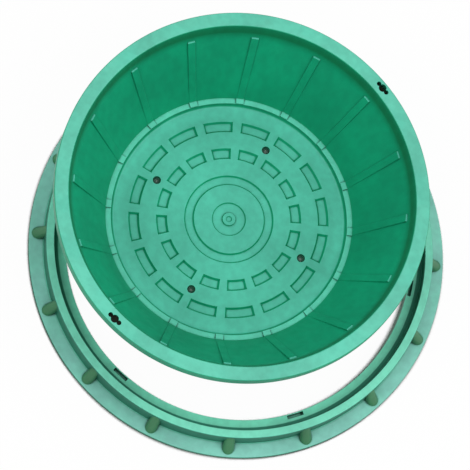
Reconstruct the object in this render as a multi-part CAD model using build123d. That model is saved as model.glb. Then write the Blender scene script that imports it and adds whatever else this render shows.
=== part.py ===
from build123d import *

import os
from math import atan2, cos, degrees, hypot, radians, sin

# Septic tank cover in two one-piece plastic mouldings, in millimetres, +Z up.
# The basin-shaped cover stands on its own bottom inside its flanged seat frame.
# The origin is on the ground at the centre of the seat frame.

# Cover: rim
COVER_RADIUS = 350.0
COVER_HEIGHT = 208.0
RIM_WIDTH = 27.0
RIM_SKIRT = 26.0
RIM_SKIRT_WALL = 4.0
RIM_PLATE = 5.0
RIM_DRAFT = 1.0
RIM_BEVEL = 2.5
RIM_WEBS = 16
RIM_WEB_THICKNESS = 3.0
RIM_WEB_SETBACK = 3.0

# Cover: basin wall, ledge and floor
BAND_DROP = 35.0
BAND_RUN = 8.0
WALL = 7.0
LEDGE_RADIUS = 238.0
LEDGE_WIDTH = 10.0
LEDGE_RISE = 10.0
LEDGE_DRAFT = 2.5
FLOOR = 8.0
BOTTOM_BEVEL = 7.0

# Cover: ribs down the wall, each ending as a foot on the ledge
RIBS = 16
RIB_WIDTH = 15.0
RIB_RISE = 4.0
FOOT_RISE = 3.0

# Cover: relief of the floor
OUTER_POCKET_RADIUS = 183.5
OUTER_POCKET_WIDTH = 21.0
OUTER_POCKET_LENGTH = 56.0
INNER_POCKET_RADIUS = 130.0
INNER_POCKET_WIDTH = 21.5
INNER_POCKET_LENGTH = 36.5
POCKET_DEPTH = 5.0
GROOVE_RADIUS = 86.5
GROOVE_WIDTH = 19.0
GROOVE_DEPTH = 4.0
DISC_RADIUS = 33.0
DISC_DEPTH = 3.0
NUB_RADIUS = 13.5
NUB_RISE = 4.0
NUB_DRAFT = 1.5
CRATER_RADIUS = 6.0
CRATER_DEPTH = 2.0
CRATER_DRAFT = 2.0

# Cover: holes
DRAIN_HOLES = 4
DRAIN_DIAMETER = 16.0
DRAIN_CIRCLE_RADIUS = 157.0
KEY_DIAMETER = 15.0
KEY_LOBE_DIAMETER = 9.0
KEY_LOBE_BITE = 1.5
KEY_TURN = 66.5
KEY_SPAN = 186.5
KEY_CUP_LENGTH = 40.0
KEY_CUP_FLOOR = 3.0

# Seat frame
SEAT_GAP = 5.0
OPENING_GAP = 7.0
SEAT_HEIGHT = 30.0
FRAME_RIM_WIDTH = 15.0
FRAME_DRAFT = 2.0
FRAME_SKIN = 4.5
FRAME_BEVEL = 1.5
FLANGE_WIDTH = 28.0
FLANGE_THICKNESS = 10.0
FRAME_WEB_THICKNESS = 3.0
GUSSETS = 16
GUSSET_WIDTH = 23.0
GUSSET_TOP_WIDTH = 17.0
GUSSET_SETBACK = 7.0
GUSSET_TOP_DROP = 6.0
GUSSET_TOP_SINK = 2.0
NOTCHES = 6
NOTCH_LENGTH = 32.0
NOTCH_REACH = 9.0
NOTCH_LIP = 2.0
NOTCH_DROP = 14.0
NOTCH_TURN = 13.6

# How the cover stands in the frame
STAND_GAP = 17.5
STAND_SIDE = 132.0
COVER_TURN = -1.9

# Depth by which a fused feature is rooted in what carries it
ROOT = 2.0

band_foot = COVER_HEIGHT - BAND_DROP
rim_inner = COVER_RADIUS - RIM_WIDTH
wall_top = rim_inner - BAND_RUN
ledge_height = FLOOR + LEDGE_RISE
wall_slope = (wall_top - LEDGE_RADIUS) / (band_foot - ledge_height)
wall_across = WALL * hypot(1.0, wall_slope)
skirt_foot = COVER_HEIGHT - RIM_SKIRT
plate_foot = COVER_HEIGHT - RIM_PLATE
skirt_inner = COVER_RADIUS - RIM_SKIRT_WALL


def inside(height):
    """Radius of the basin's inner face at a height."""
    if height > band_foot:
        return wall_top + BAND_RUN * (height - band_foot) / BAND_DROP
    return LEDGE_RADIUS + wall_slope * (height - ledge_height)


def outside(height):
    """Radius of the basin's outer face at a height below the rim."""
    return inside(height) + wall_across


key_circle = (outside(plate_foot) + skirt_inner) / 2
seat_wall = COVER_RADIUS + SEAT_GAP
opening = outside(skirt_foot) + OPENING_GAP
frame_height = SEAT_HEIGHT + RIM_SKIRT
frame_rim_outer = seat_wall + FRAME_RIM_WIDTH
frame_wall_foot = frame_rim_outer + FRAME_DRAFT
flange_radius = frame_wall_foot + FLANGE_WIDTH
gusset_tip = flange_radius - GUSSET_SETBACK
seat_web = opening + NOTCH_REACH + FRAME_SKIN
stand_offset = opening - outside(SEAT_HEIGHT) - STAND_GAP


def section(corners):
    """Face in the XZ plane from (radius, height, bevel) corners."""
    face = make_face(Polyline(*[(radius, height) for radius, height, _ in corners], close=True))
    for radius, height, bevel in corners:
        if bevel:
            corner = face.vertices().sort_by_distance((radius, height, 0))[0]
            face = chamfer(corner, bevel)
    return Plane.XZ * face


def radial_plate(corners, thickness):
    """Plate standing in the plane of azimuth 0, centred on it."""
    return extrude(section([(*corner, 0) for corner in corners]), amount=thickness / 2, both=True)


def arc_block(inner, outer, low, high, length):
    """Block bent about the Z axis and centred on azimuth 0, with its length along its middle."""
    middle = (inner + outer) / 2
    block = Plane.XZ * Pos(middle, (low + high) / 2) * Rectangle(outer - inner, high - low)
    span = degrees(length / middle)
    return Rot(0, 0, -span / 2) * revolve(block, Axis.Z, span)


def around(shape, count, turn=0.0):
    """Copies of a shape evenly about the Z axis, the first turned by an angle."""
    return [Rot(0, 0, turn + 360.0 * step / count) * shape for step in range(count)]


def basin():
    """Turned body of the cover: rim, wall, ledge and floor."""
    disc_floor = FLOOR - DISC_DEPTH
    nub_top = disc_floor + NUB_RISE
    ledge_inner = LEDGE_RADIUS - LEDGE_WIDTH
    return revolve(section([
        (0, 0, 0),
        (outside(0), 0, BOTTOM_BEVEL),
        (outside(band_foot), band_foot, 0),
        (outside(plate_foot), plate_foot, 0),
        (skirt_inner, plate_foot, 0),
        (skirt_inner, skirt_foot, 0),
        (COVER_RADIUS, skirt_foot, 0),
        (COVER_RADIUS - RIM_DRAFT, COVER_HEIGHT, RIM_BEVEL),
        (rim_inner, COVER_HEIGHT, RIM_BEVEL),
        (wall_top, band_foot, 0),
        (LEDGE_RADIUS, ledge_height, 0),
        (ledge_inner, ledge_height, 0),
        (ledge_inner - LEDGE_DRAFT, FLOOR, 0),
        (GROOVE_RADIUS, FLOOR, 0),
        (GROOVE_RADIUS, FLOOR - GROOVE_DEPTH, 0),
        (GROOVE_RADIUS - GROOVE_WIDTH, FLOOR - GROOVE_DEPTH, 0),
        (GROOVE_RADIUS - GROOVE_WIDTH, FLOOR, 0),
        (DISC_RADIUS, FLOOR, 0),
        (DISC_RADIUS, disc_floor, 0),
        (NUB_RADIUS, disc_floor, 0),
        (NUB_RADIUS - NUB_DRAFT, nub_top, 0),
        (CRATER_RADIUS, nub_top, 0),
        (CRATER_RADIUS - CRATER_DRAFT, nub_top - CRATER_DEPTH, 0),
        (0, nub_top - CRATER_DEPTH, 0),
    ]), Axis.Z)


def wall_rib():
    """Flat-topped rib down the inner wall, with its square foot across the ledge."""
    foot_top = ledge_height + FOOT_RISE
    foot_inner = LEDGE_RADIUS - LEDGE_WIDTH
    return radial_plate([
        (inside(band_foot) + ROOT, band_foot),
        (inside(band_foot) - RIB_RISE, band_foot),
        (inside(foot_top) - RIB_RISE, foot_top),
        (foot_inner, foot_top),
        (foot_inner, ledge_height - ROOT),
        (inside(ledge_height) + ROOT, ledge_height - ROOT),
    ], RIB_WIDTH)


def rim_web():
    """Stiffening web across the channel under the rim."""
    foot = skirt_foot + RIM_WEB_SETBACK
    return radial_plate([
        (outside(foot) - ROOT, foot),
        (skirt_inner + ROOT, foot),
        (skirt_inner + ROOT, plate_foot + ROOT),
        (outside(plate_foot) - ROOT, plate_foot + ROOT),
    ], RIM_WEB_THICKNESS)


def floor_pocket(radius, width, length):
    """Cutter of one recessed pocket of the floor."""
    return arc_block(radius - width / 2, radius + width / 2, FLOOR - POCKET_DEPTH, FLOOR + ROOT, length)


def key_slot():
    """Cutter of one key slot: a round hole with a lobe at each end, along the rim."""
    height = RIM_PLATE + 2 * ROOT
    offset = (KEY_DIAMETER + KEY_LOBE_DIAMETER) / 2 - KEY_LOBE_BITE
    middle = Cylinder(KEY_DIAMETER / 2, height)
    lobes = [Pos(0, end * offset) * Cylinder(KEY_LOBE_DIAMETER / 2, height) for end in (-1, 1)]
    return Pos(key_circle, 0, COVER_HEIGHT - RIM_PLATE / 2) * (middle + lobes)


def key_cup():
    """Floor and end walls that close the rim's channel under one key slot."""
    foot = skirt_foot + RIM_WEB_SETBACK
    floor = arc_block(outside(foot) - ROOT, skirt_inner + ROOT, foot, foot + KEY_CUP_FLOOR, KEY_CUP_LENGTH)
    half_span = degrees(KEY_CUP_LENGTH / 2 / key_circle)
    return floor + [Rot(0, 0, side * half_span) * rim_web() for side in (-1, 1)]


def basin_cover():
    """The cover as it stands, centred on its own axis."""
    half_pitch = 180.0 / RIBS
    outer_pocket = floor_pocket(OUTER_POCKET_RADIUS, OUTER_POCKET_WIDTH, OUTER_POCKET_LENGTH)
    inner_pocket = floor_pocket(INNER_POCKET_RADIUS, INNER_POCKET_WIDTH, INNER_POCKET_LENGTH)
    drain_hole = Pos(DRAIN_CIRCLE_RADIUS, 0, FLOOR / 2) * Cylinder(DRAIN_DIAMETER / 2, FLOOR + 2 * ROOT)
    key_turns = [Rot(0, 0, KEY_TURN), Rot(0, 0, KEY_TURN + KEY_SPAN)]
    body = basin() + around(wall_rib(), RIBS) + around(rim_web(), RIM_WEBS, 180.0 / RIM_WEBS)
    body += [turn * key_cup() for turn in key_turns]
    body -= around(outer_pocket, RIBS, half_pitch) + around(inner_pocket, RIBS, half_pitch)
    body -= around(drain_hole, DRAIN_HOLES) + [turn * key_slot() for turn in key_turns]
    return body


def frame_body():
    """Turned body of the seat frame: flange, upright wall, rim and seat, open underneath."""
    return revolve(section([
        (opening, 0, 0),
        (opening, SEAT_HEIGHT, 0),
        (seat_wall, SEAT_HEIGHT, 0),
        (seat_wall, frame_height, 0),
        (frame_rim_outer, frame_height, FRAME_BEVEL),
        (frame_wall_foot, FLANGE_THICKNESS, 0),
        (flange_radius, FLANGE_THICKNESS, 0),
        (flange_radius, 0, 0),
        (frame_wall_foot - FRAME_SKIN, 0, 0),
        (frame_rim_outer - FRAME_SKIN, frame_height - FRAME_SKIN, 0),
        (seat_wall + FRAME_SKIN, frame_height - FRAME_SKIN, 0),
        (seat_wall + FRAME_SKIN, SEAT_HEIGHT - FRAME_SKIN, 0),
        (seat_web, SEAT_HEIGHT - FRAME_SKIN, 0),
        (seat_web, 0, 0),
    ]), Axis.Z)


def gusset():
    """Leaning half cone from high on the frame's wall to a round tip on the flange."""
    foot_round = GUSSET_WIDTH / 2
    top_round = GUSSET_TOP_WIDTH / 2
    top_height = frame_height - GUSSET_TOP_DROP
    foot_middle = gusset_tip - foot_round
    top_middle = frame_rim_outer - top_round - GUSSET_TOP_SINK
    rise = top_height - FLANGE_THICKNESS
    length = hypot(foot_middle - top_middle, rise)
    spare = (foot_round - top_round) * foot_round / length
    cone = Cone(foot_round + spare, top_round - spare, length + 2 * foot_round)
    lean = degrees(atan2(foot_middle - top_middle, rise))
    place = Pos((foot_middle + top_middle) / 2, 0, (FLANGE_THICKNESS + top_height) / 2)
    band_low = FLANGE_THICKNESS - ROOT
    band = Cylinder(flange_radius, top_height - band_low) - Cylinder(frame_rim_outer - ROOT, frame_height)
    return (place * Rot(0, -lean, 0) * cone) & (Pos(0, 0, (band_low + top_height) / 2) * band)


def frame_web():
    """Stiffening web across the hollow under the frame's wall and seat."""
    return radial_plate([
        (seat_web - ROOT, 0),
        (frame_wall_foot - ROOT, 0),
        (frame_rim_outer - ROOT, frame_height - ROOT),
        (seat_wall + ROOT, frame_height - ROOT),
        (seat_wall + ROOT, SEAT_HEIGHT - ROOT),
        (seat_web - ROOT, SEAT_HEIGHT - ROOT),
    ], FRAME_WEB_THICKNESS)


def notch():
    """Cutter of one pocket behind the lip of the seat's inner edge."""
    foot = SEAT_HEIGHT - NOTCH_DROP
    return arc_block(opening + NOTCH_LIP, opening + NOTCH_REACH, foot, SEAT_HEIGHT + ROOT, NOTCH_LENGTH)


def seat_frame():
    """The flanged frame that takes the cover's rim."""
    body = frame_body() + around(gusset(), GUSSETS) + around(frame_web(), GUSSETS)
    return body - around(notch(), NOTCHES, NOTCH_TURN)


side = radians(STAND_SIDE)
standing = Pos(stand_offset * cos(side), stand_offset * sin(side), 0) * Rot(0, 0, COVER_TURN)
nodes = {
    "basin_cover": standing * basin_cover(),
    "seat_frame": seat_frame(),
}

os.makedirs("parts", exist_ok=True)
for name, shape in nodes.items():
    export_step(shape, f"parts/{name}.step")
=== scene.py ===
"""Septic tank cover and its seat frame: two green plastic mouldings on a pale studio floor."""

import logging
from dataclasses import dataclass, field, replace
from enum import Enum
from math import atan2, cos, degrees, hypot, pi, radians, sin, tan
from typing import Iterable, Sequence

import bpy
from mathutils import Matrix, Vector


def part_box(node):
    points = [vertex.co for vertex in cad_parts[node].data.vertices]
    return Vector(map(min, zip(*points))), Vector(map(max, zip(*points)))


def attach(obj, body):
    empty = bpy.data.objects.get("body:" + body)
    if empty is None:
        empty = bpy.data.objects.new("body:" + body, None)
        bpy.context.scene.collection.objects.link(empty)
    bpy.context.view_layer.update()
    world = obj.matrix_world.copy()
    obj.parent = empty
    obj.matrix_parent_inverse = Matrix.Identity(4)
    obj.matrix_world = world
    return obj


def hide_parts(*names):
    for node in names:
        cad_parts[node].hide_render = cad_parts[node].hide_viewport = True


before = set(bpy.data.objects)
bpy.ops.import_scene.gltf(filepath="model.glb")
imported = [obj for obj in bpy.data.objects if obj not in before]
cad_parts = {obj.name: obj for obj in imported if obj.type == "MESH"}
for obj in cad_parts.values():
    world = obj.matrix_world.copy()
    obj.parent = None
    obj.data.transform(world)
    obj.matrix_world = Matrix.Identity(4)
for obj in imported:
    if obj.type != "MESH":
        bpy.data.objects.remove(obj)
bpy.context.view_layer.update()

log = logging.getLogger("tank_cover")

Colour = tuple[float, float, float]
Span = tuple[float, float]
Socket = bpy.types.NodeSocket

MM = 0.001
BODY = "root"
TURN = 2 * pi
MERGE_DISTANCE = 0.01 * MM
CREASE_ANGLE = radians(32)
WHEEL_STEPS = 288
ARC_STEP_DEGREES = 1.5
ARC_LEAST_STEPS = 4
BEND_STEP_DEGREES = 18
ROUND_STEP = 4 * MM
BEVEL_SEGMENTS = 2
HOLE_SIDES = 40
CONE_SIDES = 48
CUTTER_CLEAR = 2 * MM
AO_SAMPLES = 12
BEVEL_SAMPLES = 6


class Node(Enum):
    """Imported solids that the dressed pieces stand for."""

    COVER = "basin_cover"
    FRAME = "seat_frame"


class Slot(Enum):
    """Material slots of the record."""

    COVER = "cover_plastic"
    FRAME = "frame_plastic"


@dataclass(frozen=True)
class Corner:
    """One corner of a turned outline."""

    radius: float
    height: float
    rounding: float = 0.0


class Bench:
    """Small set of modelling steps, each done with Blender's own operators."""

    @staticmethod
    def clear_selection() -> None:
        """Leaves edit mode and deselects every object."""
        if bpy.context.object and bpy.context.object.mode != "OBJECT":
            bpy.ops.object.mode_set(mode="OBJECT")
        bpy.ops.object.select_all(action="DESELECT")

    @staticmethod
    def pick(piece: bpy.types.Object) -> None:
        """Makes one object the only selected and active one.

        Args:
            piece: The object.
        """
        Bench.clear_selection()
        piece.select_set(True)
        bpy.context.view_layer.objects.active = piece

    @staticmethod
    def enter(piece: bpy.types.Object, mode: str = "VERT") -> None:
        """Opens a piece in edit mode with nothing selected.

        Args:
            piece: The mesh object.
            mode: Selection mode, VERT, EDGE or FACE.
        """
        Bench.pick(piece)
        bpy.ops.object.mode_set(mode="EDIT")
        bpy.ops.mesh.select_mode(type=mode)
        bpy.ops.mesh.select_all(action="DESELECT")

    @staticmethod
    def leave() -> None:
        """Goes back to object mode."""
        bpy.ops.object.mode_set(mode="OBJECT")

    @staticmethod
    def pick_vertex(piece: bpy.types.Object, place: Vector) -> None:
        """Selects only the vertex nearest to a place, in edit mode.

        Args:
            piece: The mesh object, in edit mode.
            place: Where the vertex is.
        """
        bpy.ops.mesh.select_all(action="DESELECT")
        Bench.leave()
        nearest = min(piece.data.vertices, key=lambda vertex: (vertex.co - place).length)
        nearest.select = True
        bpy.ops.object.mode_set(mode="EDIT")

    @staticmethod
    def pick_underside(piece: bpy.types.Object) -> None:
        """Selects the lowest flat faces of a piece, in edit mode.

        Args:
            piece: The mesh object, in edit mode.
        """
        bpy.ops.mesh.select_all(action="DESELECT")
        Bench.leave()
        level = min(face.center.z for face in piece.data.polygons)
        for face in piece.data.polygons:
            face.select = face.center.z - level < MERGE_DISTANCE
        bpy.ops.object.mode_set(mode="EDIT")

    @staticmethod
    def draw(name: str, corners: Sequence[Corner], closed: bool) -> bpy.types.Object:
        """Draws an outline in the XZ plane by extruding a point, and rounds its corners.

        Args:
            name: Name of the new object.
            corners: The corners in order.
            closed: Whether the last corner joins the first.

        Returns:
            The object, holding a chain of edges.
        """
        places = [Vector((corner.radius, 0.0, corner.height)) for corner in corners]
        Bench.clear_selection()
        bpy.ops.mesh.primitive_plane_add(size=MM)
        piece = bpy.context.object
        piece.name = name
        bpy.ops.object.mode_set(mode="EDIT")
        bpy.ops.mesh.select_all(action="SELECT")
        bpy.ops.mesh.merge(type="CENTER")
        bpy.ops.transform.translate(value=places[0])
        for before, after in zip(places, places[1:]):
            bpy.ops.mesh.extrude_region_move(TRANSFORM_OT_translate={"value": after - before})
        if closed:
            Bench.leave()
            for vertex in piece.data.vertices:
                vertex.select = (vertex.co - places[0]).length < MERGE_DISTANCE
                vertex.select |= (vertex.co - places[-1]).length < MERGE_DISTANCE
            bpy.ops.object.mode_set(mode="EDIT")
            bpy.ops.mesh.edge_face_add()
        for index, corner in enumerate(corners):
            if corner.rounding:
                before, after = places[index - 1], places[(index + 1) % len(places)]
                turn = (places[index] - before).angle(after - places[index])
                by_bend = round(degrees(turn) / BEND_STEP_DEGREES)
                by_length = round(corner.rounding * turn / ROUND_STEP)
                Bench.pick_vertex(piece, places[index])
                bpy.ops.mesh.bevel(
                    offset=corner.rounding * tan(turn / 2),
                    segments=max(BEVEL_SEGMENTS, by_bend, by_length),
                    affect="VERTICES",
                )
        Bench.leave()
        return piece

    @staticmethod
    def turn(piece: bpy.types.Object, centre: Vector, angle: float = TURN,
             steps: int = WHEEL_STEPS) -> None:
        """Spins an outline clockwise about an upright axis and closes its seam and poles.

        Args:
            piece: The object with the outline.
            centre: A point of the axis.
            angle: How far it turns.
            steps: How many steps it takes.
        """
        Bench.enter(piece)
        bpy.ops.mesh.select_all(action="SELECT")
        bpy.ops.mesh.spin(steps=steps, angle=angle, center=centre, axis=(0, 0, 1))
        Bench.tidy(piece)

    @staticmethod
    def tidy(piece: bpy.types.Object) -> None:
        """Merges doubles and turns every face outwards.

        Args:
            piece: The mesh object.
        """
        Bench.enter(piece)
        bpy.ops.mesh.select_all(action="SELECT")
        bpy.ops.mesh.remove_doubles(threshold=MERGE_DISTANCE)
        bpy.ops.mesh.normals_make_consistent(inside=False)
        Bench.leave()

    @staticmethod
    def bevel(piece: bpy.types.Object, width: float, angle: float = CREASE_ANGLE) -> None:
        """Rounds the sharp edges of a piece with a Bevel modifier and applies it.

        Args:
            piece: The mesh object.
            width: Width of the bevel.
            angle: Edges that turn by more than this are rounded.
        """
        Bench.pick(piece)
        modifier = piece.modifiers.new("edge_round", "BEVEL")
        modifier.width = width
        modifier.segments = BEVEL_SEGMENTS
        modifier.limit_method = "ANGLE"
        modifier.angle_limit = angle
        modifier.harden_normals = False
        bpy.ops.object.modifier_apply(modifier=modifier.name)

    @staticmethod
    def cut(piece: bpy.types.Object, cutter: bpy.types.Object) -> None:
        """Takes a cutter's shape out of a piece and deletes the cutter.

        Args:
            piece: The mesh object that is cut.
            cutter: The closed cutter.
        """
        Bench.pick(piece)
        modifier = piece.modifiers.new("cut", "BOOLEAN")
        modifier.operation = "DIFFERENCE"
        modifier.solver = "EXACT"
        modifier.object = cutter
        bpy.ops.object.modifier_apply(modifier=modifier.name)
        Bench.pick(cutter)
        bpy.ops.object.delete()

    @staticmethod
    def slice(piece: bpy.types.Object, place: Vector, normal: Vector) -> None:
        """Cuts a closed piece by a plane, drops what lies behind it and caps the cut.

        Args:
            piece: The mesh object.
            place: A point of the plane.
            normal: The plane's normal, towards what stays.
        """
        Bench.enter(piece)
        bpy.ops.mesh.select_all(action="SELECT")
        bpy.ops.mesh.bisect(plane_co=place, plane_no=normal, clear_inner=True, use_fill=True)
        Bench.leave()

    @staticmethod
    def join(name: str, parts: Iterable[bpy.types.Object]) -> bpy.types.Object:
        """Joins mesh objects into one.

        Args:
            name: Name of the joined object.
            parts: The objects.

        Returns:
            The joined object.
        """
        parts = list(parts)
        Bench.pick(parts[0])
        for part in parts:
            part.select_set(True)
        bpy.ops.object.join()
        piece = bpy.context.object
        piece.name = name
        return piece

    @staticmethod
    def around(piece: bpy.types.Object, centre: Vector, turns: Iterable[float]) -> bpy.types.Object:
        """Copies a piece about an upright axis and joins the copies.

        Args:
            piece: The piece at azimuth 0.
            centre: A point of the axis.
            turns: Turn of each copy.

        Returns:
            One object with all the copies.
        """
        copies = []
        for turn in turns:
            copy = piece.copy()
            copy.data = piece.data.copy()
            bpy.context.collection.objects.link(copy)
            spin = Matrix.Rotation(turn, 4, "Z")
            copy.data.transform(Matrix.Translation(centre) @ spin @ Matrix.Translation(-centre))
            copies.append(copy)
        name = piece.name
        Bench.pick(piece)
        bpy.ops.object.delete()
        return Bench.join(name, copies)

    @staticmethod
    def settle(piece: bpy.types.Object) -> None:
        """Applies a piece's place, smooths its shading and evens its normals.

        Args:
            piece: The mesh object.
        """
        Bench.pick(piece)
        bpy.ops.object.transform_apply(location=True, rotation=True, scale=True)
        bpy.ops.object.shade_smooth_by_angle(angle=CREASE_ANGLE)
        modifier = piece.modifiers.new("even_normals", "WEIGHTED_NORMAL")
        modifier.keep_sharp = True
        bpy.ops.object.modifier_apply(modifier=modifier.name)

    @staticmethod
    def plate(name: str, corners: Sequence[Corner], thickness: float, edge: float) -> bpy.types.Object:
        """Models a plate that stands in the XZ plane, centred on it, with rounded edges.

        Args:
            name: Name of the new object.
            corners: The plate's outline.
            thickness: Its thickness along Y.
            edge: Rounding of its edges.

        Returns:
            The plate.
        """
        piece = Bench.draw(name, corners, closed=True)
        Bench.enter(piece)
        bpy.ops.mesh.select_all(action="SELECT")
        bpy.ops.mesh.edge_face_add()
        bpy.ops.transform.translate(value=(0, -thickness / 2, 0))
        bpy.ops.mesh.extrude_region_move(TRANSFORM_OT_translate={"value": (0, thickness, 0)})
        Bench.tidy(piece)
        if edge:
            Bench.bevel(piece, edge)
        return piece


@dataclass(frozen=True)
class Grain:
    """One noise of a finish, in the object's own coordinates."""

    waves: float
    octaves: float
    stretch: tuple[float, float, float] = (1.0, 1.0, 1.0)
    span: Span = (0.3, 0.7)


class Shades:
    """Node building shared by the finishes."""

    COLOUR_MIX_INPUTS = (6, 7)
    COLOUR_MIX_RESULT = 2

    def __init__(self, name: str) -> None:
        """Starts an empty material.

        Args:
            name: Name of the material.
        """
        self.material = bpy.data.materials.new(name)
        self.material.use_nodes = True
        self.tree = self.material.node_tree
        self.tree.nodes.clear()
        self.place = self.node("ShaderNodeTexCoord").outputs["Object"]

    def node(self, kind: str, **settings: object) -> bpy.types.Node:
        """Adds a node and sets its properties.

        Args:
            kind: The node's type.
            settings: Its properties.

        Returns:
            The node.
        """
        made = self.tree.nodes.new(kind)
        for key, value in settings.items():
            setattr(made, key, value)
        return made

    def link(self, source: Socket, target: Socket) -> None:
        """Joins two sockets."""
        self.tree.links.new(source, target)

    def noise(self, grain: Grain) -> Socket:
        """Noise on the object's own coordinates.

        Args:
            grain: Its waves per metre, octaves and stretch.

        Returns:
            The noise value socket.
        """
        mapping = self.node("ShaderNodeMapping")
        mapping.inputs["Scale"].default_value = grain.stretch
        self.link(self.place, mapping.inputs["Vector"])
        texture = self.node("ShaderNodeTexNoise")
        texture.inputs["Scale"].default_value = grain.waves
        texture.inputs["Detail"].default_value = grain.octaves
        self.link(mapping.outputs["Vector"], texture.inputs["Vector"])
        return texture.outputs["Fac"]

    def cloud(self, grain: Grain, low: float, high: float) -> Socket:
        """Noise that swings between two values."""
        return self.ramp(self.noise(grain), *grain.span, low, high)

    def ramp(self, value: Socket, low: float, high: float, start: float, end: float) -> Socket:
        """Smoothly maps a value from one range to another.

        Args:
            value: The socket that is mapped.
            low: Value that gives start.
            high: Value that gives end.
            start: Result at low.
            end: Result at high.

        Returns:
            The mapped value socket.
        """
        mapped = self.node("ShaderNodeMapRange", interpolation_type="SMOOTHSTEP")
        self.link(value, mapped.inputs["Value"])
        for name, number in (("From Min", low), ("From Max", high), ("To Min", start), ("To Max", end)):
            mapped.inputs[name].default_value = number
        return mapped.outputs["Result"]

    def times(self, first: Socket, second: Socket) -> Socket:
        """Multiplies two values.

        Args:
            first: Socket with one value.
            second: Socket with the other.

        Returns:
            The product's socket.
        """
        product = self.node("ShaderNodeMath", operation="MULTIPLY")
        self.link(first, product.inputs[0])
        self.link(second, product.inputs[1])
        return product.outputs[0]

    def blend(self, share: Socket, first: Colour | Socket, second: Colour | Socket) -> Socket:
        """Mixes two colours.

        Args:
            share: Socket with the share of the second colour.
            first: A colour or a colour socket.
            second: A colour or a colour socket.

        Returns:
            The mixed colour socket.
        """
        mix = self.node("ShaderNodeMix", data_type="RGBA")
        self.link(share, mix.inputs[0])
        for number, colour in zip(self.COLOUR_MIX_INPUTS, (first, second)):
            if isinstance(colour, Socket):
                self.link(colour, mix.inputs[number])
            else:
                mix.inputs[number].default_value = (*colour, 1.0)
        return mix.outputs[self.COLOUR_MIX_RESULT]


@dataclass(frozen=True)
class ToneAndPaintedLightRing:
    """Ring about an upright axis that gives the flat faces, or the standing ones, another colour: a tone of
    the plastic, painted light or painted shade.
    """

    inner: float
    outer: float
    colour: Colour
    axis: tuple[float, float] = (0.0, 0.0)
    softness: float = 1.5 * MM
    patchy: bool = True
    standing: bool = False
    streaks: Grain = Grain(waves=900.0, octaves=2.0)
    streak_low: float = 0.75
    patches: Grain = Grain(waves=18.0, octaves=4.0, span=(0.3, 0.6))
    patch_low: float = 0.65


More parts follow.
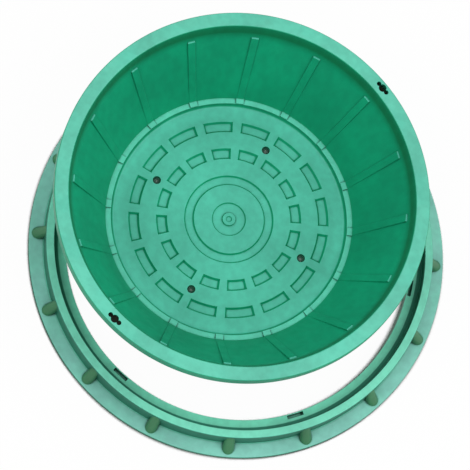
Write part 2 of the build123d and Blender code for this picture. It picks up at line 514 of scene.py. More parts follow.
@dataclass(frozen=True)
class MouldedPlastic:
    """Semi-matt moulded plastic, painted pale where it lies flat, with painted edge highlights and painted
    shade on walls and in creases.
    """

    name: str
    # Painted light and shade by slope: flat is the lit tone, wall and steep the shaded tones of the same
    # plastic.
    flat: Colour
    wall: Colour
    steep: Colour
    # Colour of the painted shade in creases and corners.
    crease_shade: Colour
    # Colour of the painted highlight on sharp outer edges.
    edge: Colour
    flat_slope: Span = (0.62, 0.96)
    steep_slope: Span = (0.17, 0.40)
    roughness: float = 0.46
    roughness_change: float = 0.03
    sheen: Grain = Grain(waves=35.0, octaves=3.0)
    gloss: float = 0.30
    mottle: float = 0.10
    clouds: Grain = Grain(waves=7.0, octaves=5.0, span=(0.32, 0.68))
    streak: float = 0.06
    flecks: Grain = Grain(waves=70.0, octaves=4.0, stretch=(1.0, 1.0, 0.3))
    pore_height: float = 0.05 * MM
    pore_strength: float = 0.6
    pores: Grain = Grain(waves=900.0, octaves=2.0)
    # Reach, span and strength of the painted crease shade, on flat faces and on walls.
    crease_reach: float = 5 * MM
    crease_span: Span = (0.46, 0.97)
    crease_share: float = 0.90
    wall_crease_share: float = 0.28
    # Where the painted edge highlight lies and how strong it is.
    edge_radius: float = 1.6 * MM
    edge_highlight_share: float = 0.70
    bent_span: Span = (0.86, 0.99)
    open_span: Span = (0.80, 0.98)
    rings: tuple[ToneAndPaintedLightRing, ...] = ()

    @staticmethod
    def slope(shades: Shades, steepness: Span) -> Socket:
        """How far the surface lies flat.

        Args:
            shades: The material that is built.
            steepness: Heights of the surface's normal that give 0 and 1.

        Returns:
            The flatness socket.
        """
        normal = shades.node("ShaderNodeSeparateXYZ")
        shades.link(shades.node("ShaderNodeNewGeometry").outputs["Normal"], normal.inputs["Vector"])
        return shades.ramp(normal.outputs["Z"], *steepness, 0.0, 1.0)

    def by_slope(self, shades: Shades) -> Socket:
        """Painted light and shade: colour that goes from the pale flat tone to the wall and the darker
        steep tone with the surface's slope.

        Args:
            shades: The material that is built.

        Returns:
            The colour socket.
        """
        standing = self.slope(shades, self.steep_slope)
        lying = self.slope(shades, self.flat_slope)
        flat, steep = self.flat, self.steep
        for ring in self.rings:
            if ring.standing:
                steep = shades.blend(self.within(shades, ring), steep, ring.colour)
            else:
                flat = shades.blend(self.within(shades, ring), flat, ring.colour)
        return shades.blend(lying, shades.blend(standing, steep, self.wall), flat)

    @staticmethod
    def within(shades: Shades, ring: ToneAndPaintedLightRing) -> Socket:
        """Share of a ring's tone at a place, with streaks along the ring where it is patchy.

        Args:
            shades: The material that is built.
            ring: The ring.

        Returns:
            The share's socket.
        """
        from_axis = shades.node("ShaderNodeVectorMath", operation="MULTIPLY_ADD")
        shades.link(shades.place, from_axis.inputs[0])
        from_axis.inputs[1].default_value = (1.0, 1.0, 0.0)
        from_axis.inputs[2].default_value = (-ring.axis[0], -ring.axis[1], 0.0)
        radius = shades.node("ShaderNodeVectorMath", operation="LENGTH")
        shades.link(from_axis.outputs["Vector"], radius.inputs[0])
        distance = radius.outputs["Value"]
        started = shades.ramp(distance, ring.inner - ring.softness, ring.inner + ring.softness, 0.0, 1.0)
        ended = shades.ramp(distance, ring.outer - ring.softness, ring.outer + ring.softness, 1.0, 0.0)
        share = shades.times(started, ended)
        if not ring.patchy:
            return share
        streaks = shades.node("ShaderNodeTexNoise", noise_dimensions="1D")
        streaks.inputs["Scale"].default_value = ring.streaks.waves
        streaks.inputs["Detail"].default_value = ring.streaks.octaves
        shades.link(distance, streaks.inputs["W"])
        streaked = shades.ramp(streaks.outputs["Fac"], *ring.streaks.span, ring.streak_low, 1.0)
        return shades.times(shades.times(share, streaked), shades.cloud(ring.patches, ring.patch_low, 1.0))

    def mottled(self, shades: Shades, colour: Socket) -> Socket:
        """Varies a colour by broad clouds and by finer streaks.

        Args:
            shades: The material that is built.
            colour: The colour's socket.

        Returns:
            The varied colour's socket.
        """
        cloud = shades.cloud(self.clouds, 1.0 - self.mottle, 1.0 + self.mottle)
        fleck = shades.cloud(self.flecks, 1.0 - self.streak, 1.0 + self.streak)
        toned = shades.node("ShaderNodeVectorMath", operation="SCALE")
        shades.link(colour, toned.inputs[0])
        shades.link(shades.times(cloud, fleck), toned.inputs["Scale"])
        return toned.outputs[0]

    def edge_highlight(self, shades: Shades, colour: Socket) -> Socket:
        """Paints a highlight on the sharp outer edges that lie in the open.

        Args:
            shades: The material that is built.
            colour: The colour's socket.

        Returns:
            The colour's socket with painted edge highlights.
        """
        rounded = shades.node("ShaderNodeBevel", samples=BEVEL_SAMPLES)
        rounded.inputs["Radius"].default_value = self.edge_radius
        facing = shades.node("ShaderNodeVectorMath", operation="DOT_PRODUCT")
        shades.link(rounded.outputs["Normal"], facing.inputs[0])
        shades.link(shades.node("ShaderNodeNewGeometry").outputs["True Normal"], facing.inputs[1])
        shelter = self.shelter(shades, self.crease_reach / 2)
        open_side = shades.ramp(shelter, *self.open_span, 0.0, self.edge_highlight_share)
        bent = shades.ramp(facing.outputs["Value"], *self.bent_span, 1.0, 0.0)
        return shades.blend(shades.times(bent, open_side), colour, self.edge)

    @staticmethod
    def shelter(shades: Shades, reach: float) -> Socket:
        """How open a place is, 1 in the open and less in a corner.

        Args:
            shades: The material that is built.
            reach: How far a neighbouring face still counts.

        Returns:
            The openness socket.
        """
        shelter = shades.node("ShaderNodeAmbientOcclusion", samples=AO_SAMPLES)
        shelter.inputs["Distance"].default_value = reach
        return shelter.outputs["AO"]

    def material(self) -> bpy.types.Material:
        """Builds the material's nodes.

        Returns:
            The material.
        """
        shades = Shades(self.name)
        # Slope tones, mottled, then painted highlights on the sharp edges.
        surface = self.edge_highlight(shades, self.mottled(shades, self.by_slope(shades)))
        # Painted shade: creases and corners darken towards the crease colour, most on flat faces.
        line = shades.ramp(self.shelter(shades, self.crease_reach), *self.crease_span, 1.0, 0.0)
        weight = shades.node("ShaderNodeMapRange")
        shades.link(self.slope(shades, self.flat_slope), weight.inputs["Value"])
        weight.inputs["To Min"].default_value = self.wall_crease_share
        weight.inputs["To Max"].default_value = self.crease_share
        surface = shades.blend(shades.times(line, weight.outputs["Result"]), surface, self.crease_shade)
        relief = shades.node("ShaderNodeBump")
        relief.inputs["Distance"].default_value = self.pore_height
        relief.inputs["Strength"].default_value = self.pore_strength
        shades.link(shades.noise(self.pores), relief.inputs["Height"])
        shader = shades.node("ShaderNodeBsdfPrincipled")
        shader.inputs["Specular IOR Level"].default_value = self.gloss
        shades.link(surface, shader.inputs["Base Color"])
        low, high = self.roughness - self.roughness_change, self.roughness + self.roughness_change
        shades.link(shades.cloud(self.sheen, low, high), shader.inputs["Roughness"])
        shades.link(relief.outputs["Normal"], shader.inputs["Normal"])
        output = shades.node("ShaderNodeOutputMaterial")
        shades.link(shader.outputs["BSDF"], output.inputs["Surface"])
        return shades.material


def finish_piece(piece: bpy.types.Object, material: bpy.types.Material, node: Node) -> None:
    """Dresses a piece, fixes it to its body and hides the solid that it stands for.

    Args:
        piece: The finished mesh object.
        material: Its material.
        node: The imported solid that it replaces.
    """
    Bench.settle(piece)
    piece.data.materials.clear()
    piece.data.materials.append(material)
    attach(piece, BODY)
    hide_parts(node.value)
    log.info("%s: %d faces", piece.name, len(piece.data.polygons))


def evenly(count: int, first: float) -> list[float]:
    """Turns of a pattern that goes evenly round an axis.

    Args:
        count: Number of copies.
        first: Turn of the first copy.

    Returns:
        The turn of each copy.
    """
    return [first + TURN * step / count for step in range(count)]


def arc_slab(name: str, centre: Vector, inner: float, outer: float, low: float, high: float,
             length: float) -> bpy.types.Object:
    """Models a slab bent about an upright axis.

    Args:
        name: Name of the new object.
        centre: A point of the axis.
        inner: Inner radius.
        outer: Outer radius.
        low: Height of its underside.
        high: Height of its top.
        length: Its length along its middle.

    Returns:
        The closed slab, centred on azimuth 0.
    """
    span = 2 * length / (inner + outer)
    piece = Bench.draw(name, [Corner(inner, high), Corner(outer, high)], closed=False)
    piece.data.transform(Matrix.Translation(centre) @ Matrix.Rotation(span / 2, 4, "Z"))
    Bench.turn(piece, centre, span, max(ARC_LEAST_STEPS, round(degrees(span) / ARC_STEP_DEGREES)))
    Bench.enter(piece, "FACE")
    bpy.ops.mesh.select_all(action="SELECT")
    bpy.ops.mesh.extrude_region_move(TRANSFORM_OT_translate={"value": (0, 0, low - high)})
    Bench.tidy(piece)
    return piece


def recess_cutter(name: str, centre: Vector, radius: float, width: float, length: float, surface: float,
                  depth: float, draft: float) -> bpy.types.Object:
    """Models the cutter of a recess bent about an upright axis, with drafted sides.

    Args:
        name: Name of the new object.
        centre: A point of the axis.
        radius: Radius of the recess's middle.
        width: Its width across.
        length: Its length along the middle.
        surface: Height of the face that it is cut in.
        depth: How deep it goes.
        draft: How much smaller the recess is at its floor, on every side.

    Returns:
        The closed cutter, centred on azimuth 0.
    """
    half = width / 2
    piece = arc_slab(name, centre, radius - half, radius + half, surface, surface + CUTTER_CLEAR, length)
    Bench.enter(piece, "FACE")
    Bench.pick_underside(piece)
    bpy.ops.mesh.inset(thickness=draft, depth=depth)
    Bench.tidy(piece)
    return piece


@dataclass(frozen=True)
class PocketRing:
    """One ring of recessed pockets in the cover's floor."""

    name: str
    radius: float
    width: float
    length: float


@dataclass
class BasinCover:
    """The deep round cover: rim, ribbed wall, ledge and floor with its relief."""

    finish: bpy.types.Material
    rib_finish: bpy.types.Material
    # Finish of the key cups, painted near black as shade.
    cup_shade: bpy.types.Material
    rim_width: float = 27 * MM
    rim_skirt: float = 26 * MM
    rim_skirt_wall: float = 4 * MM
    rim_plate: float = 5 * MM
    rim_draft: float = 1 * MM
    rim_round: float = 3 * MM
    web_thickness: float = 3 * MM
    web_setback: float = 3 * MM
    band_drop: float = 35 * MM
    band_run: float = 8 * MM
    band_round: float = 110 * MM
    wall: float = 7 * MM
    ledge_radius: float = 238 * MM
    ledge_width: float = 10 * MM
    ledge_rise: float = 10 * MM
    ledge_draft: float = 2.5 * MM
    ledge_foot_round: float = 6 * MM
    floor: float = 8 * MM
    bottom_round: float = 8 * MM
    ribs: int = 16
    rib_width: float = 15 * MM
    rib_rise: float = 4.4 * MM
    rib_foot_rise: float = 2.2 * MM
    rib_edge: float = 2 * MM
    foot_rise: float = 3 * MM
    pockets: tuple[PocketRing, ...] = (
        PocketRing("outer_pocket", radius=183.5 * MM, width=21 * MM, length=56 * MM),
        PocketRing("inner_pocket", radius=130 * MM, width=21.5 * MM, length=36.5 * MM),
    )
    pocket_depth: float = 5 * MM
    pocket_draft: float = 3.6 * MM
    groove_radius: float = 86.5 * MM
    groove_width: float = 19 * MM
    groove_depth: float = 4 * MM
    groove_draft: float = 2.8 * MM
    disc_radius: float = 33 * MM
    disc_depth: float = 3 * MM
    disc_draft: float = 2 * MM
    nub_radius: float = 13.5 * MM
    nub_rise: float = 4 * MM
    nub_draft: float = 1.2 * MM
    crater_radius: float = 6 * MM
    crater_depth: float = 2.4 * MM
    crater_draft: float = 1.4 * MM
    drain_holes: int = 4
    drain_diameter: float = 16 * MM
    drain_circle: float = 157 * MM
    key_diameter: float = 15 * MM
    key_lobe_diameter: float = 9 * MM
    key_lobe_bite: float = 1.5 * MM
    key_turn: float = radians(66.5)
    key_span: float = radians(186.5)
    key_cup_length: float = 40 * MM
    key_cup_floor: float = 3 * MM
    turn: float = radians(-1.9)
    edge: float = 0.7 * MM
    root: float = 2 * MM
    radius: float = field(init=False)
    height: float = field(init=False)
    centre: Vector = field(init=False)

    def __post_init__(self) -> None:
        """Takes the cover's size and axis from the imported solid."""
        low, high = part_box(Node.COVER.value)
        self.radius = (high[0] - low[0]) / 2
        self.height = high[2]
        self.centre = Vector(((low[0] + high[0]) / 2, (low[1] + high[1]) / 2, 0))

    @property
    def band_foot(self) -> float:
        """Height where the steep band under the rim ends."""
        return self.height - self.band_drop

    @property
    def ledge_height(self) -> float:
        """Height of the ledge."""
        return self.floor + self.ledge_rise

    @property
    def skirt_inner(self) -> float:
        """Inner radius of the rim's skirt."""
        return self.radius - self.rim_skirt_wall

    def inside(self, height: float) -> float:
        """Radius of the basin's inner face.

        Args:
            height: Height at which it is wanted.

        Returns:
            The radius.
        """
        wall_top = self.radius - self.rim_width - self.band_run
        if height > self.band_foot:
            return wall_top + self.band_run * (height - self.band_foot) / self.band_drop
        slope = (wall_top - self.ledge_radius) / (self.band_foot - self.ledge_height)
        return self.ledge_radius + slope * (height - self.ledge_height)

    def outside(self, height: float) -> float:
        """Radius of the basin's outer face at a height below the rim."""
        run = self.inside(self.band_foot) - self.ledge_radius
        return self.inside(height) + self.wall * hypot(1.0, run / (self.band_foot - self.ledge_height))

    def place(self, piece: bpy.types.Object) -> bpy.types.Object:
        """Moves a shape drawn about the origin onto the cover's axis."""
        piece.data.transform(Matrix.Translation(self.centre))
        return piece

    def body(self) -> bpy.types.Object:
        """Turns the basin's outline, with the groove, disc and nub of its floor.

        Returns:
            The turned body.
        """
        plate_foot = self.height - self.rim_plate
        skirt_foot = self.height - self.rim_skirt
        ledge_inner = self.ledge_radius - self.ledge_width
        groove_inner = self.groove_radius - self.groove_width
        groove_floor = self.floor - self.groove_depth
        disc_floor = self.floor - self.disc_depth
        nub_top = disc_floor + self.nub_rise
        soft = self.edge
        outline = [
            Corner(0, 0),
            Corner(self.outside(0), 0, self.bottom_round),
            Corner(self.outside(self.band_foot), self.band_foot, self.band_round),
            Corner(self.outside(plate_foot), plate_foot, 2 * soft),
            Corner(self.skirt_inner, plate_foot, 2 * soft),
            Corner(self.skirt_inner, skirt_foot, soft),
            Corner(self.radius, skirt_foot, soft),
            Corner(self.radius - self.rim_draft, self.height, self.rim_round),
            Corner(self.radius - self.rim_width, self.height, self.rim_round),
            Corner(self.inside(self.band_foot), self.band_foot, self.band_round),
            Corner(self.ledge_radius, self.ledge_height, 2 * soft),
            Corner(ledge_inner, self.ledge_height, 2 * soft),
            Corner(ledge_inner - self.ledge_draft, self.floor, self.ledge_foot_round),
            Corner(self.groove_radius, self.floor, soft),
            Corner(self.groove_radius - self.groove_draft, groove_floor, soft),
            Corner(groove_inner + self.groove_draft, groove_floor, soft),
            Corner(groove_inner, self.floor, soft),
            Corner(self.disc_radius, self.floor, soft),
            Corner(self.disc_radius - self.disc_draft, disc_floor, soft),
            Corner(self.nub_radius, disc_floor, soft),
            Corner(self.nub_radius - self.nub_draft, nub_top, soft),
            Corner(self.crater_radius, nub_top, soft),
            Corner(self.crater_radius - self.crater_draft, nub_top - self.crater_depth, soft),
            Corner(0, nub_top - self.crater_depth),
        ]
        piece = self.place(Bench.draw("cover_basin", outline, closed=False))
        Bench.turn(piece, self.centre)
        return piece

    @property
    def key_circle(self) -> float:
        """Radius of the middle of the channel under the rim, where the key slots are."""
        return (self.outside(self.height - self.rim_plate) + self.skirt_inner) / 2

    def cut_pockets(self, piece: bpy.types.Object) -> None:
        """Cuts both rings of recessed pockets between the ribs.

        Args:
            piece: The turned body.
        """
        for ring in self.pockets:
            cutter = recess_cutter(ring.name, self.centre, ring.radius, ring.width, ring.length, self.floor,
                                   self.pocket_depth, self.pocket_draft)
            Bench.cut(piece, Bench.around(cutter, self.centre, self.between_ribs()))

    def between_ribs(self) -> list[float]:
        """Turns of a pattern with one copy between each two ribs."""
        return evenly(self.ribs, self.turn + pi / self.ribs)

    def key_turns(self) -> list[float]:
        """Turns of the two key slots."""
        return [self.turn + self.key_turn, self.turn + self.key_turn + self.key_span]

    def hole(self, name: str, radius: float, x: float, y: float, top: float) -> bpy.types.Object:
        """Models the cutter of a round hole through one wall.

        Args:
            name: Name of the new object.
            radius: Radius of the hole.
            x: Distance of the hole from the cover's axis, along azimuth 0.
            y: Sideways offset of the hole.
            top: Height of the face that it starts in.

        Returns:
            The cutter.
        """
        depth = self.floor + 2 * self.root
        place = self.centre + Vector((x, y, top + self.root - depth / 2))
        Bench.clear_selection()
        bpy.ops.mesh.primitive_cylinder_add(vertices=HOLE_SIDES, radius=radius, depth=depth, location=place)
        piece = bpy.context.object
        piece.name = name
        bpy.ops.object.transform_apply(location=True, rotation=True, scale=True)
        return piece

    def cut_holes(self, piece: bpy.types.Object) -> None:
        """Cuts the drain holes through the floor and the key slots through the rim.

        Args:
            piece: The turned body.
        """
        drain = self.hole("drain_hole", self.drain_diameter / 2, self.drain_circle, 0.0, self.floor)
        Bench.cut(piece, Bench.around(drain, self.centre, evenly(self.drain_holes, self.turn)))
        step = (self.key_diameter + self.key_lobe_diameter) / 2 - self.key_lobe_bite
        lobes = ((0.0, self.key_diameter), (step, self.key_lobe_diameter), (-step, self.key_lobe_diameter))
        for offset, diameter in lobes:
            lobe = self.hole("key_slot", diameter / 2, self.key_circle, offset, self.height)
            Bench.cut(piece, Bench.around(lobe, self.centre, self.key_turns()))

    def key_cups(self) -> bpy.types.Object:
        """Models the floors and end walls that close the channel under the key slots.

        Returns:
            Both cups.
        """
        foot = self.height - self.rim_skirt + self.web_setback
        inner, outer = self.outside(foot) - self.root, self.skirt_inner + self.root
        floor = arc_slab("key_cups", self.centre, inner, outer, foot, foot + self.key_cup_floor,
                         self.key_cup_length)
        half_span = self.key_cup_length / 2 / self.key_circle
        ends = Bench.around(self.channel_web("key_cup_ends"), self.centre, [-half_span, half_span])
        return Bench.around(Bench.join("key_cups", [floor, ends]), self.centre, self.key_turns())

    def wall_ribs(self) -> bpy.types.Object:
        """Models the flat-topped ribs down the wall.

        Returns:
            All the ribs.
        """
        foot_top = self.ledge_height + self.foot_rise
        outline = [
            Corner(self.inside(self.band_foot) + self.root, self.band_foot),
            Corner(self.inside(self.band_foot) - self.rib_rise, self.band_foot),
            Corner(self.inside(foot_top) - self.rib_foot_rise, foot_top - self.root),
            Corner(self.inside(foot_top) + self.root, foot_top - self.root),
        ]
        rib = self.place(Bench.plate("wall_ribs", outline, self.rib_width, self.rib_edge))
        return Bench.around(rib, self.centre, evenly(self.ribs, self.turn))

    def rib_feet(self) -> bpy.types.Object:
        """Models the square feet of the ribs across the ledge.

        Returns:
            All the feet.
        """
        foot_top = self.ledge_height + self.foot_rise
        foot_inner = self.ledge_radius - self.ledge_width
        low = self.ledge_height - self.root
        outline = [
            Corner(self.inside(foot_top) + self.root, foot_top),
            Corner(foot_inner, foot_top),
            Corner(foot_inner, low),
            Corner(self.inside(low) + self.root, low),
        ]
        foot = self.place(Bench.plate("rib_feet", outline, self.rib_width, self.edge))
        return Bench.around(foot, self.centre, evenly(self.ribs, self.turn))

    def channel_web(self, name: str) -> bpy.types.Object:
        """Models one web across the channel under the rim.

        Args:
            name: Name of the new object.

        Returns:
            The web, at azimuth 0.
        """
        foot = self.height - self.rim_skirt + self.web_setback
        top = self.height - self.rim_plate + self.root
        outline = [
            Corner(self.outside(foot) - self.root, foot),
            Corner(self.skirt_inner + self.root, foot),
            Corner(self.skirt_inner + self.root, top),
            Corner(self.outside(top) - self.root, top),
        ]
        return self.place(Bench.plate(name, outline, self.web_thickness, 0.0))

    def rim_webs(self) -> bpy.types.Object:
        """Models the stiffening webs under the rim.

        Returns:
            All the webs.
        """
        return Bench.around(self.channel_web("rim_webs"), self.centre, self.between_ribs())

    def build(self) -> list[bpy.types.Object]:
        """Builds the cover's pieces.

        Returns:
            The pieces.
        """
        basin = self.body()
        self.cut_pockets(basin)
        self.cut_holes(basin)
        return [basin, self.wall_ribs(), self.rib_feet(), self.rim_webs(), self.key_cups()]

    def dress(self, pieces: Iterable[bpy.types.Object]) -> None:
        """Gives every piece of the cover its finish, with softer painted shade and highlights on the ribs
        and painted shade in the key cups.

        Args:
            pieces: The cover's pieces.
        """
        # The key cups take the finish painted near black as shade.
        own = {"wall_ribs": self.rib_finish, "key_cups": self.cup_shade}
        for piece in pieces:
            finish_piece(piece, own.get(piece.name, self.finish), Node.COVER)


@dataclass
class SeatFrame:
    """The flanged frame that takes the cover's rim: wall, seat, gussets and notches."""

    finish: bpy.types.Material
    gusset_finish: bpy.types.Material
    cover: BasinCover
    seat_gap: float = 5 * MM
    opening_gap: float = 7 * MM
    rim_width: float = 15 * MM
    draft: float = 2 * MM
    skin: float = 4.5 * MM
    rim_round: float = 2 * MM
    flange_thickness: float = 10 * MM
    web_thickness: float = 3 * MM
    gussets: int = 16
    gusset_width: float = 23 * MM
    gusset_top_width: float = 17 * MM
    gusset_setback: float = 7 * MM
    gusset_top_drop: float = 6 * MM
    gusset_top_sink: float = 2 * MM
    gusset_edge_angle: float = radians(50)
    notches: int = 6
    notch_length: float = 32 * MM
    notch_reach: float = 9 * MM
    notch_lip: float = 2 * MM
    notch_drop: float = 14 * MM
    notch_draft: float = 0.2 * MM
    notch_turn: float = radians(13.6)
    edge: float = 0.8 * MM
    root: float = 2 * MM
    flange_radius: float = field(init=False)
    height: float = field(init=False)

    def __post_init__(self) -> None:
        """Takes the frame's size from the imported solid."""
        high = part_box(Node.FRAME.value)[1]
        self.flange_radius = high[0]
        self.height = high[2]

    @property
    def seat_wall(self) -> float:
        """Radius of the wall round the seat."""
        return self.cover.radius + self.seat_gap

    @property
    def opening(self) -> float:
        """Radius of the clear opening."""
        return self.cover.outside(self.cover.height - self.cover.rim_skirt) + self.opening_gap

    @property
    def seat_height(self) -> float:
        """Height of the seat, a skirt's depth below the frame's rim."""
        return self.height - self.cover.rim_skirt

    @property
    def rim_outer(self) -> float:
        """Outer radius of the frame's rim."""
        return self.seat_wall + self.rim_width

    @property
    def seat_web(self) -> float:
        """Radius where the hollow under the seat starts."""
        return self.opening + self.notch_reach + self.skin

    def body(self) -> bpy.types.Object:
        """Turns the frame's outline.

        Returns:
            The turned body.
        """
        wall_foot = self.rim_outer + self.draft
        ceiling = self.height - self.skin
        outline = [
            Corner(self.opening, 0, self.edge),
            Corner(self.opening, self.seat_height, self.edge),
            Corner(self.seat_wall, self.seat_height, self.edge),
            Corner(self.seat_wall, self.height, self.edge),
            Corner(self.rim_outer, self.height, self.rim_round),
            Corner(wall_foot, self.flange_thickness, 2 * self.edge),
            Corner(self.flange_radius, self.flange_thickness, 2 * self.edge),
            Corner(self.flange_radius, 0, self.edge),
            Corner(wall_foot - self.skin, 0),
            Corner(self.rim_outer - self.skin, ceiling),
            Corner(self.seat_wall + self.skin, ceiling),
            Corner(self.seat_wall + self.skin, self.seat_height - self.skin),
            Corner(self.seat_web, self.seat_height - self.skin),
            Corner(self.seat_web, 0),
        ]
        piece = Bench.draw("frame_ring", outline, closed=True)
        Bench.turn(piece, Vector())
        return piece

    def cut_notches(self, piece: bpy.types.Object) -> None:
        """Cuts the pockets behind the lip of the seat's inner edge.

        Args:
            piece: The turned body.
        """
        width = self.notch_reach - self.notch_lip
        radius = self.opening + self.notch_lip + width / 2
        cutter = recess_cutter("seat_notch", Vector(), radius, width, self.notch_length, self.seat_height,
                               self.notch_drop, self.notch_draft)
        Bench.cut(piece, Bench.around(cutter, Vector(), evenly(self.notches, self.notch_turn)))

    def gusset_ring(self) -> bpy.types.Object:
        """Models the leaning half cones between the wall and the flange.

        Returns:
            All the gussets.
        """
        foot_round = self.gusset_width / 2
        top_round = self.gusset_top_width / 2
        top_height = self.height - self.gusset_top_drop
        foot = Vector((self.flange_radius - self.gusset_setback - foot_round, 0, self.flange_thickness))
        top = Vector((self.rim_outer - top_round - self.gusset_top_sink, 0, top_height))
        lean = top - foot
        spare = foot_round / lean.length
        taper = foot_round - top_round
        Bench.clear_selection()
        bpy.ops.mesh.primitive_cone_add(
            vertices=CONE_SIDES,
            radius1=foot_round + taper * spare,
            radius2=top_round - taper * spare,
            depth=lean.length * (1 + 2 * spare),
            location=(foot + top) / 2,
            rotation=(0, -atan2(-lean.x, lean.z), 0),
        )
        piece = bpy.context.object
        piece.name = "frame_gussets"
        bpy.ops.object.transform_apply(location=True, rotation=True, scale=True)
        Bench.slice(piece, Vector((0, 0, top_height)), Vector((0, 0, -1)))
        Bench.slice(piece, Vector((0, 0, self.flange_thickness - self.root)), Vector((0, 0, 1)))
        Bench.slice(piece, Vector((self.rim_outer - self.root, 0, 0)), Vector((1, 0, 0)))
        Bench.tidy(piece)
        Bench.bevel(piece, self.edge, self.gusset_edge_angle)
        return Bench.around(piece, Vector(), evenly(self.gussets, 0.0))

    def frame_webs(self) -> bpy.types.Object:
        """Models the stiffening webs in the hollow under the wall and the seat.

        Returns:
            All the webs.
        """
        outline = [
            Corner(self.seat_web - self.root, 0),
            Corner(self.rim_outer + self.draft - self.root, 0),
            Corner(self.rim_outer - self.root, self.height - self.root),
            Corner(self.seat_wall + self.root, self.height - self.root),
            Corner(self.seat_wall + self.root, self.seat_height - self.root),
            Corner(self.seat_web - self.root, self.seat_height - self.root),
        ]
        web = Bench.plate("frame_webs", outline, self.web_thickness, 0.0)
        return Bench.around(web, Vector(), evenly(self.gussets, 0.0))

    def build(self) -> list[bpy.types.Object]:
        """Builds the frame's pieces.

        Returns:
            The pieces.
        """
        ring = self.body()
        self.cut_notches(ring)
        return [ring, self.gusset_ring(), self.frame_webs()]

    def dress(self, pieces: Iterable[bpy.types.Object]) -> None:
        """Gives every piece of the frame its finish, deeper on the gussets.

        Args:
            pieces: The frame's pieces.
        """
        for piece in pieces:
            finish = self.gusset_finish if piece.name == "frame_gussets" else self.finish
            finish_piece(piece, finish, Node.FRAME)


@dataclass(frozen=True)
class Lamp:
    """One soft lamp over the object."""

    name: str
    azimuth: float
    elevation: float
    distance: float
    size: float
    power: float


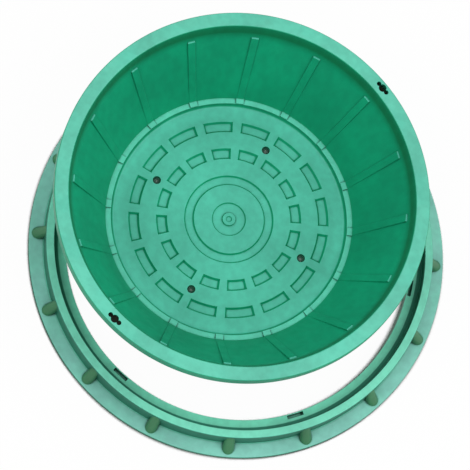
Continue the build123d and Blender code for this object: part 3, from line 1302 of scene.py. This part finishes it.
@dataclass
class Studio:
    """Pale floor, soft light and the camera."""

    azimuth: float = -95.8
    elevation: float = 74.21
    roll: float = -32.22
    distance: float = 4.6023
    aim: tuple[float, float, float] = (-0.01776, 0.02582, 0.0)
    focal_pixels: float = 2400.0
    image_pixels: float = 470.0
    sensor: float = 36.0
    far_clip: float = 50.0
    white: Colour = (1.0, 1.0, 1.0)
    world_strength: float = 0.80
    floor_size: float = 14.0
    floor_drop: float = 0.4 * MM
    floor_paper: Colour = (0.80, 0.80, 0.80)
    floor_glow: float = 0.96
    hole_reach: float = 18 * MM
    hole_span: Span = (0.56, 0.64)
    hole_shade: Colour = (0.012, 0.052, 0.032)
    lamps: tuple[Lamp, ...] = (
        Lamp("key_softbox", azimuth=12.0, elevation=52.0, distance=3.2, size=2.4, power=33.0),
        Lamp("fill_softbox", azimuth=222.0, elevation=54.0, distance=3.4, size=2.6, power=28.0),
    )

    @staticmethod
    def direction(azimuth: float, elevation: float) -> Vector:
        """Unit vector towards an azimuth and elevation in degrees."""
        flat = cos(radians(elevation))
        return Vector((flat * cos(radians(azimuth)), flat * sin(radians(azimuth)), sin(radians(elevation))))

    def camera(self) -> None:
        """Sets the camera at the photograph's angle."""
        view = self.direction(self.azimuth, self.elevation)
        right = (-view).cross(Vector((0, 0, 1))).normalized()
        down = (-view).cross(right)
        turn = radians(self.roll)
        across = cos(turn) * right + sin(turn) * down
        below = cos(turn) * down - sin(turn) * right
        data = bpy.data.cameras.new("photo_camera")
        data.sensor_width = self.sensor
        data.lens = self.sensor * self.focal_pixels / self.image_pixels
        data.clip_end = self.far_clip
        eye = bpy.data.objects.new("photo_camera", data)
        axes = Matrix((across, -below, view)).transposed().to_4x4()
        eye.matrix_world = Matrix.Translation(Vector(self.aim) + self.distance * view) @ axes
        bpy.context.collection.objects.link(eye)
        bpy.context.scene.camera = eye

    def floor(self) -> None:
        """Lays the pale floor, white to the camera with a soft shadow, and painted with dark shade where a
        hole shows it.
        """
        Bench.clear_selection()
        bpy.ops.mesh.primitive_plane_add(size=self.floor_size, location=(0, 0, -self.floor_drop))
        piece = bpy.context.object
        piece.name = "studio_floor"
        bpy.ops.object.transform_apply(location=True, rotation=True, scale=True)
        shades = Shades("studio_floor")
        # Painted shade: where the floor lies closed in, as under a hole, it turns near black.
        openness = MouldedPlastic.shelter(shades, self.hole_reach)
        covered = shades.ramp(openness, *self.hole_span, 1.0, 0.0)
        paper = shades.node("ShaderNodeBsdfDiffuse")
        shades.link(shades.blend(covered, self.floor_paper, self.hole_shade), paper.inputs["Color"])
        glow = shades.node("ShaderNodeEmission")
        shades.link(shades.blend(covered, self.white, self.hole_shade), glow.inputs["Color"])
        mix = shades.node("ShaderNodeMixShader")
        share = shades.node("ShaderNodeMath", operation="MULTIPLY")
        share.inputs[1].default_value = self.floor_glow
        shades.link(self.seen_directly(shades), share.inputs[0])
        shades.link(share.outputs[0], mix.inputs["Fac"])
        shades.link(paper.outputs["BSDF"], mix.inputs[1])
        shades.link(glow.outputs["Emission"], mix.inputs[2])
        output = shades.node("ShaderNodeOutputMaterial")
        shades.link(mix.outputs["Shader"], output.inputs["Surface"])
        piece.data.materials.append(shades.material)

    @staticmethod
    def seen_directly(shades: Shades) -> Socket:
        """Tells camera, glossy and transmission rays from the rest.

        Args:
            shades: The material that is built.

        Returns:
            Socket that is 1 for those rays.
        """
        path = shades.node("ShaderNodeLightPath")
        first = shades.node("ShaderNodeMath", operation="MAXIMUM")
        both = shades.node("ShaderNodeMath", operation="MAXIMUM")
        shades.link(path.outputs["Is Camera Ray"], first.inputs[0])
        shades.link(path.outputs["Is Glossy Ray"], first.inputs[1])
        shades.link(first.outputs[0], both.inputs[0])
        shades.link(path.outputs["Is Transmission Ray"], both.inputs[1])
        return both.outputs[0]

    def world(self) -> None:
        """Sets an even pale surround, white where the camera sees it."""
        world = bpy.data.worlds.new("studio")
        bpy.context.scene.world = world
        world.use_nodes = True
        tree = world.node_tree
        ground = next(node for node in tree.nodes if node.type == "BACKGROUND")
        ground.inputs["Color"].default_value = (*self.white, 1.0)
        path = tree.nodes.new("ShaderNodeLightPath")
        level = tree.nodes.new("ShaderNodeMapRange")
        level.inputs["To Min"].default_value = self.world_strength
        level.inputs["To Max"].default_value = 1.0
        tree.links.new(path.outputs["Is Camera Ray"], level.inputs["Value"])
        tree.links.new(level.outputs["Result"], ground.inputs["Strength"])

    def light(self) -> None:
        """Hangs the soft lamps, each turned to the object."""
        for lamp in self.lamps:
            data = bpy.data.lights.new(lamp.name, "AREA")
            data.shape = "DISK"
            data.size = lamp.size
            data.energy = lamp.power
            made = bpy.data.objects.new(lamp.name, data)
            towards = self.direction(lamp.azimuth, lamp.elevation)
            made.rotation_euler = towards.to_track_quat("Z", "Y").to_euler()
            made.location = lamp.distance * towards
            bpy.context.collection.objects.link(made)

    def build(self) -> None:
        """Sets up floor, surround, lamps, camera and view transform."""
        bpy.context.scene.view_settings.view_transform = "Standard"
        self.floor()
        self.world()
        self.light()
        self.camera()


def cover_finishes(axis: tuple[float, float]) -> list[MouldedPlastic]:
    """Mixes the cover's finishes.

    Args:
        axis: Where the cover's axis stands.

    Returns:
        The finishes of its body, its ribs and its key cups, the last painted near black as shade.
    """
    rim = ToneAndPaintedLightRing(inner=322 * MM, outer=352 * MM, colour=(0.105, 0.480, 0.350), axis=axis)
    # Painted light: the ledge, and the floor just inside it, are painted paler than the floor.
    ledge = replace(rim, inner=226 * MM, outer=240 * MM, colour=(0.105, 0.620, 0.450), patchy=False)
    floor_edge_light = replace(
        ledge,
        inner=205 * MM,
        outer=226 * MM,
        colour=(0.080, 0.540, 0.395),
        softness=14 * MM,
    )
    # Painted shade: the steep band under the rim is painted dark green.
    band = replace(
        ledge,
        inner=311 * MM,
        outer=323 * MM,
        colour=(0.001, 0.130, 0.042),
        softness=4 * MM,
        standing=True,
    )
    # flat is the lit tone, wall and steep the painted shade by slope, crease the painted crease shade and
    # edge the painted edge highlight.
    body = MouldedPlastic(
        name="cover_plastic",
        flat=(0.066, 0.465, 0.335),
        wall=(0.002, 0.300, 0.150),
        steep=(0.004, 0.240, 0.130),
        crease_shade=(0.001, 0.085, 0.045),
        edge=(0.110, 0.640, 0.470),
        rings=(rim, floor_edge_light, ledge, band),
    )
    # The ribs: paler painted light on their tops, little painted crease shade beside them and a faint
    # painted edge highlight.
    ribs = replace(
        body,
        name="cover_plastic_ribs",
        flat=(0.070, 0.520, 0.375),
        steep=(0.001, 0.255, 0.125),
        wall_crease_share=0.08,
        edge_highlight_share=0.10,
    )
    # Painted shade: the key cups are painted near black, as the shade seen through the key slots.
    cup_shade = replace(
        body,
        name="cover_plastic_soiled",
        flat=(0.028, 0.038, 0.020),
        wall=(0.016, 0.026, 0.015),
        steep=(0.008, 0.014, 0.009),
        edge=(0.028, 0.038, 0.020),
        rings=(),
    )
    return [body, ribs, cup_shade]


def frame_finishes() -> list[MouldedPlastic]:
    """Mixes the frame's finishes.

    Returns:
        The finishes of its body and its gussets.
    """
    # Painted light: the seat is painted paler, to lift the shade that falls on it.
    seat = ToneAndPaintedLightRing(inner=331 * MM, outer=354 * MM, colour=(0.150, 0.640, 0.440))
    # Painted shadow: a thin dark ring at the seat's outer corner, where the rim's shadow falls.
    seat_corner_shadow = ToneAndPaintedLightRing(
        inner=346.2 * MM,
        outer=354 * MM,
        colour=(0.012, 0.190, 0.118),
        softness=0.8 * MM,
        patchy=False,
    )
    flange = ToneAndPaintedLightRing(inner=374 * MM, outer=400 * MM, colour=(0.195, 0.500, 0.425))
    # flat is the lit tone, wall and steep the painted shade by slope, crease the painted crease shade and
    # edge the painted edge highlight.
    body = MouldedPlastic(
        name="frame_plastic",
        flat=(0.160, 0.610, 0.440),
        wall=(0.022, 0.260, 0.165),
        steep=(0.010, 0.135, 0.080),
        crease_shade=(0.003, 0.060, 0.036),
        edge=(0.180, 0.640, 0.470),
        rings=(seat, seat_corner_shadow, flange),
    )
    gussets = replace(
        body,
        name="frame_plastic_gussets",
        flat=(0.036, 0.175, 0.078),
        wall=(0.034, 0.165, 0.070),
        steep=(0.026, 0.135, 0.056),
        edge=(0.048, 0.220, 0.100),
        rings=(),
    )
    return [body, gussets]


def main() -> None:
    """Builds and dresses both mouldings and sets the studio."""
    logging.basicConfig(level=logging.INFO, format="%(message)s")
    low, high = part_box(Node.COVER.value)
    axis = ((low[0] + high[0]) / 2, (low[1] + high[1]) / 2)
    cover = BasinCover(*(finish.material() for finish in cover_finishes(axis)))
    cover.dress(cover.build())
    ring = SeatFrame(*(finish.material() for finish in frame_finishes()), cover=cover)
    ring.dress(ring.build())
    Studio().build()


if __name__ == "__main__":
    main()
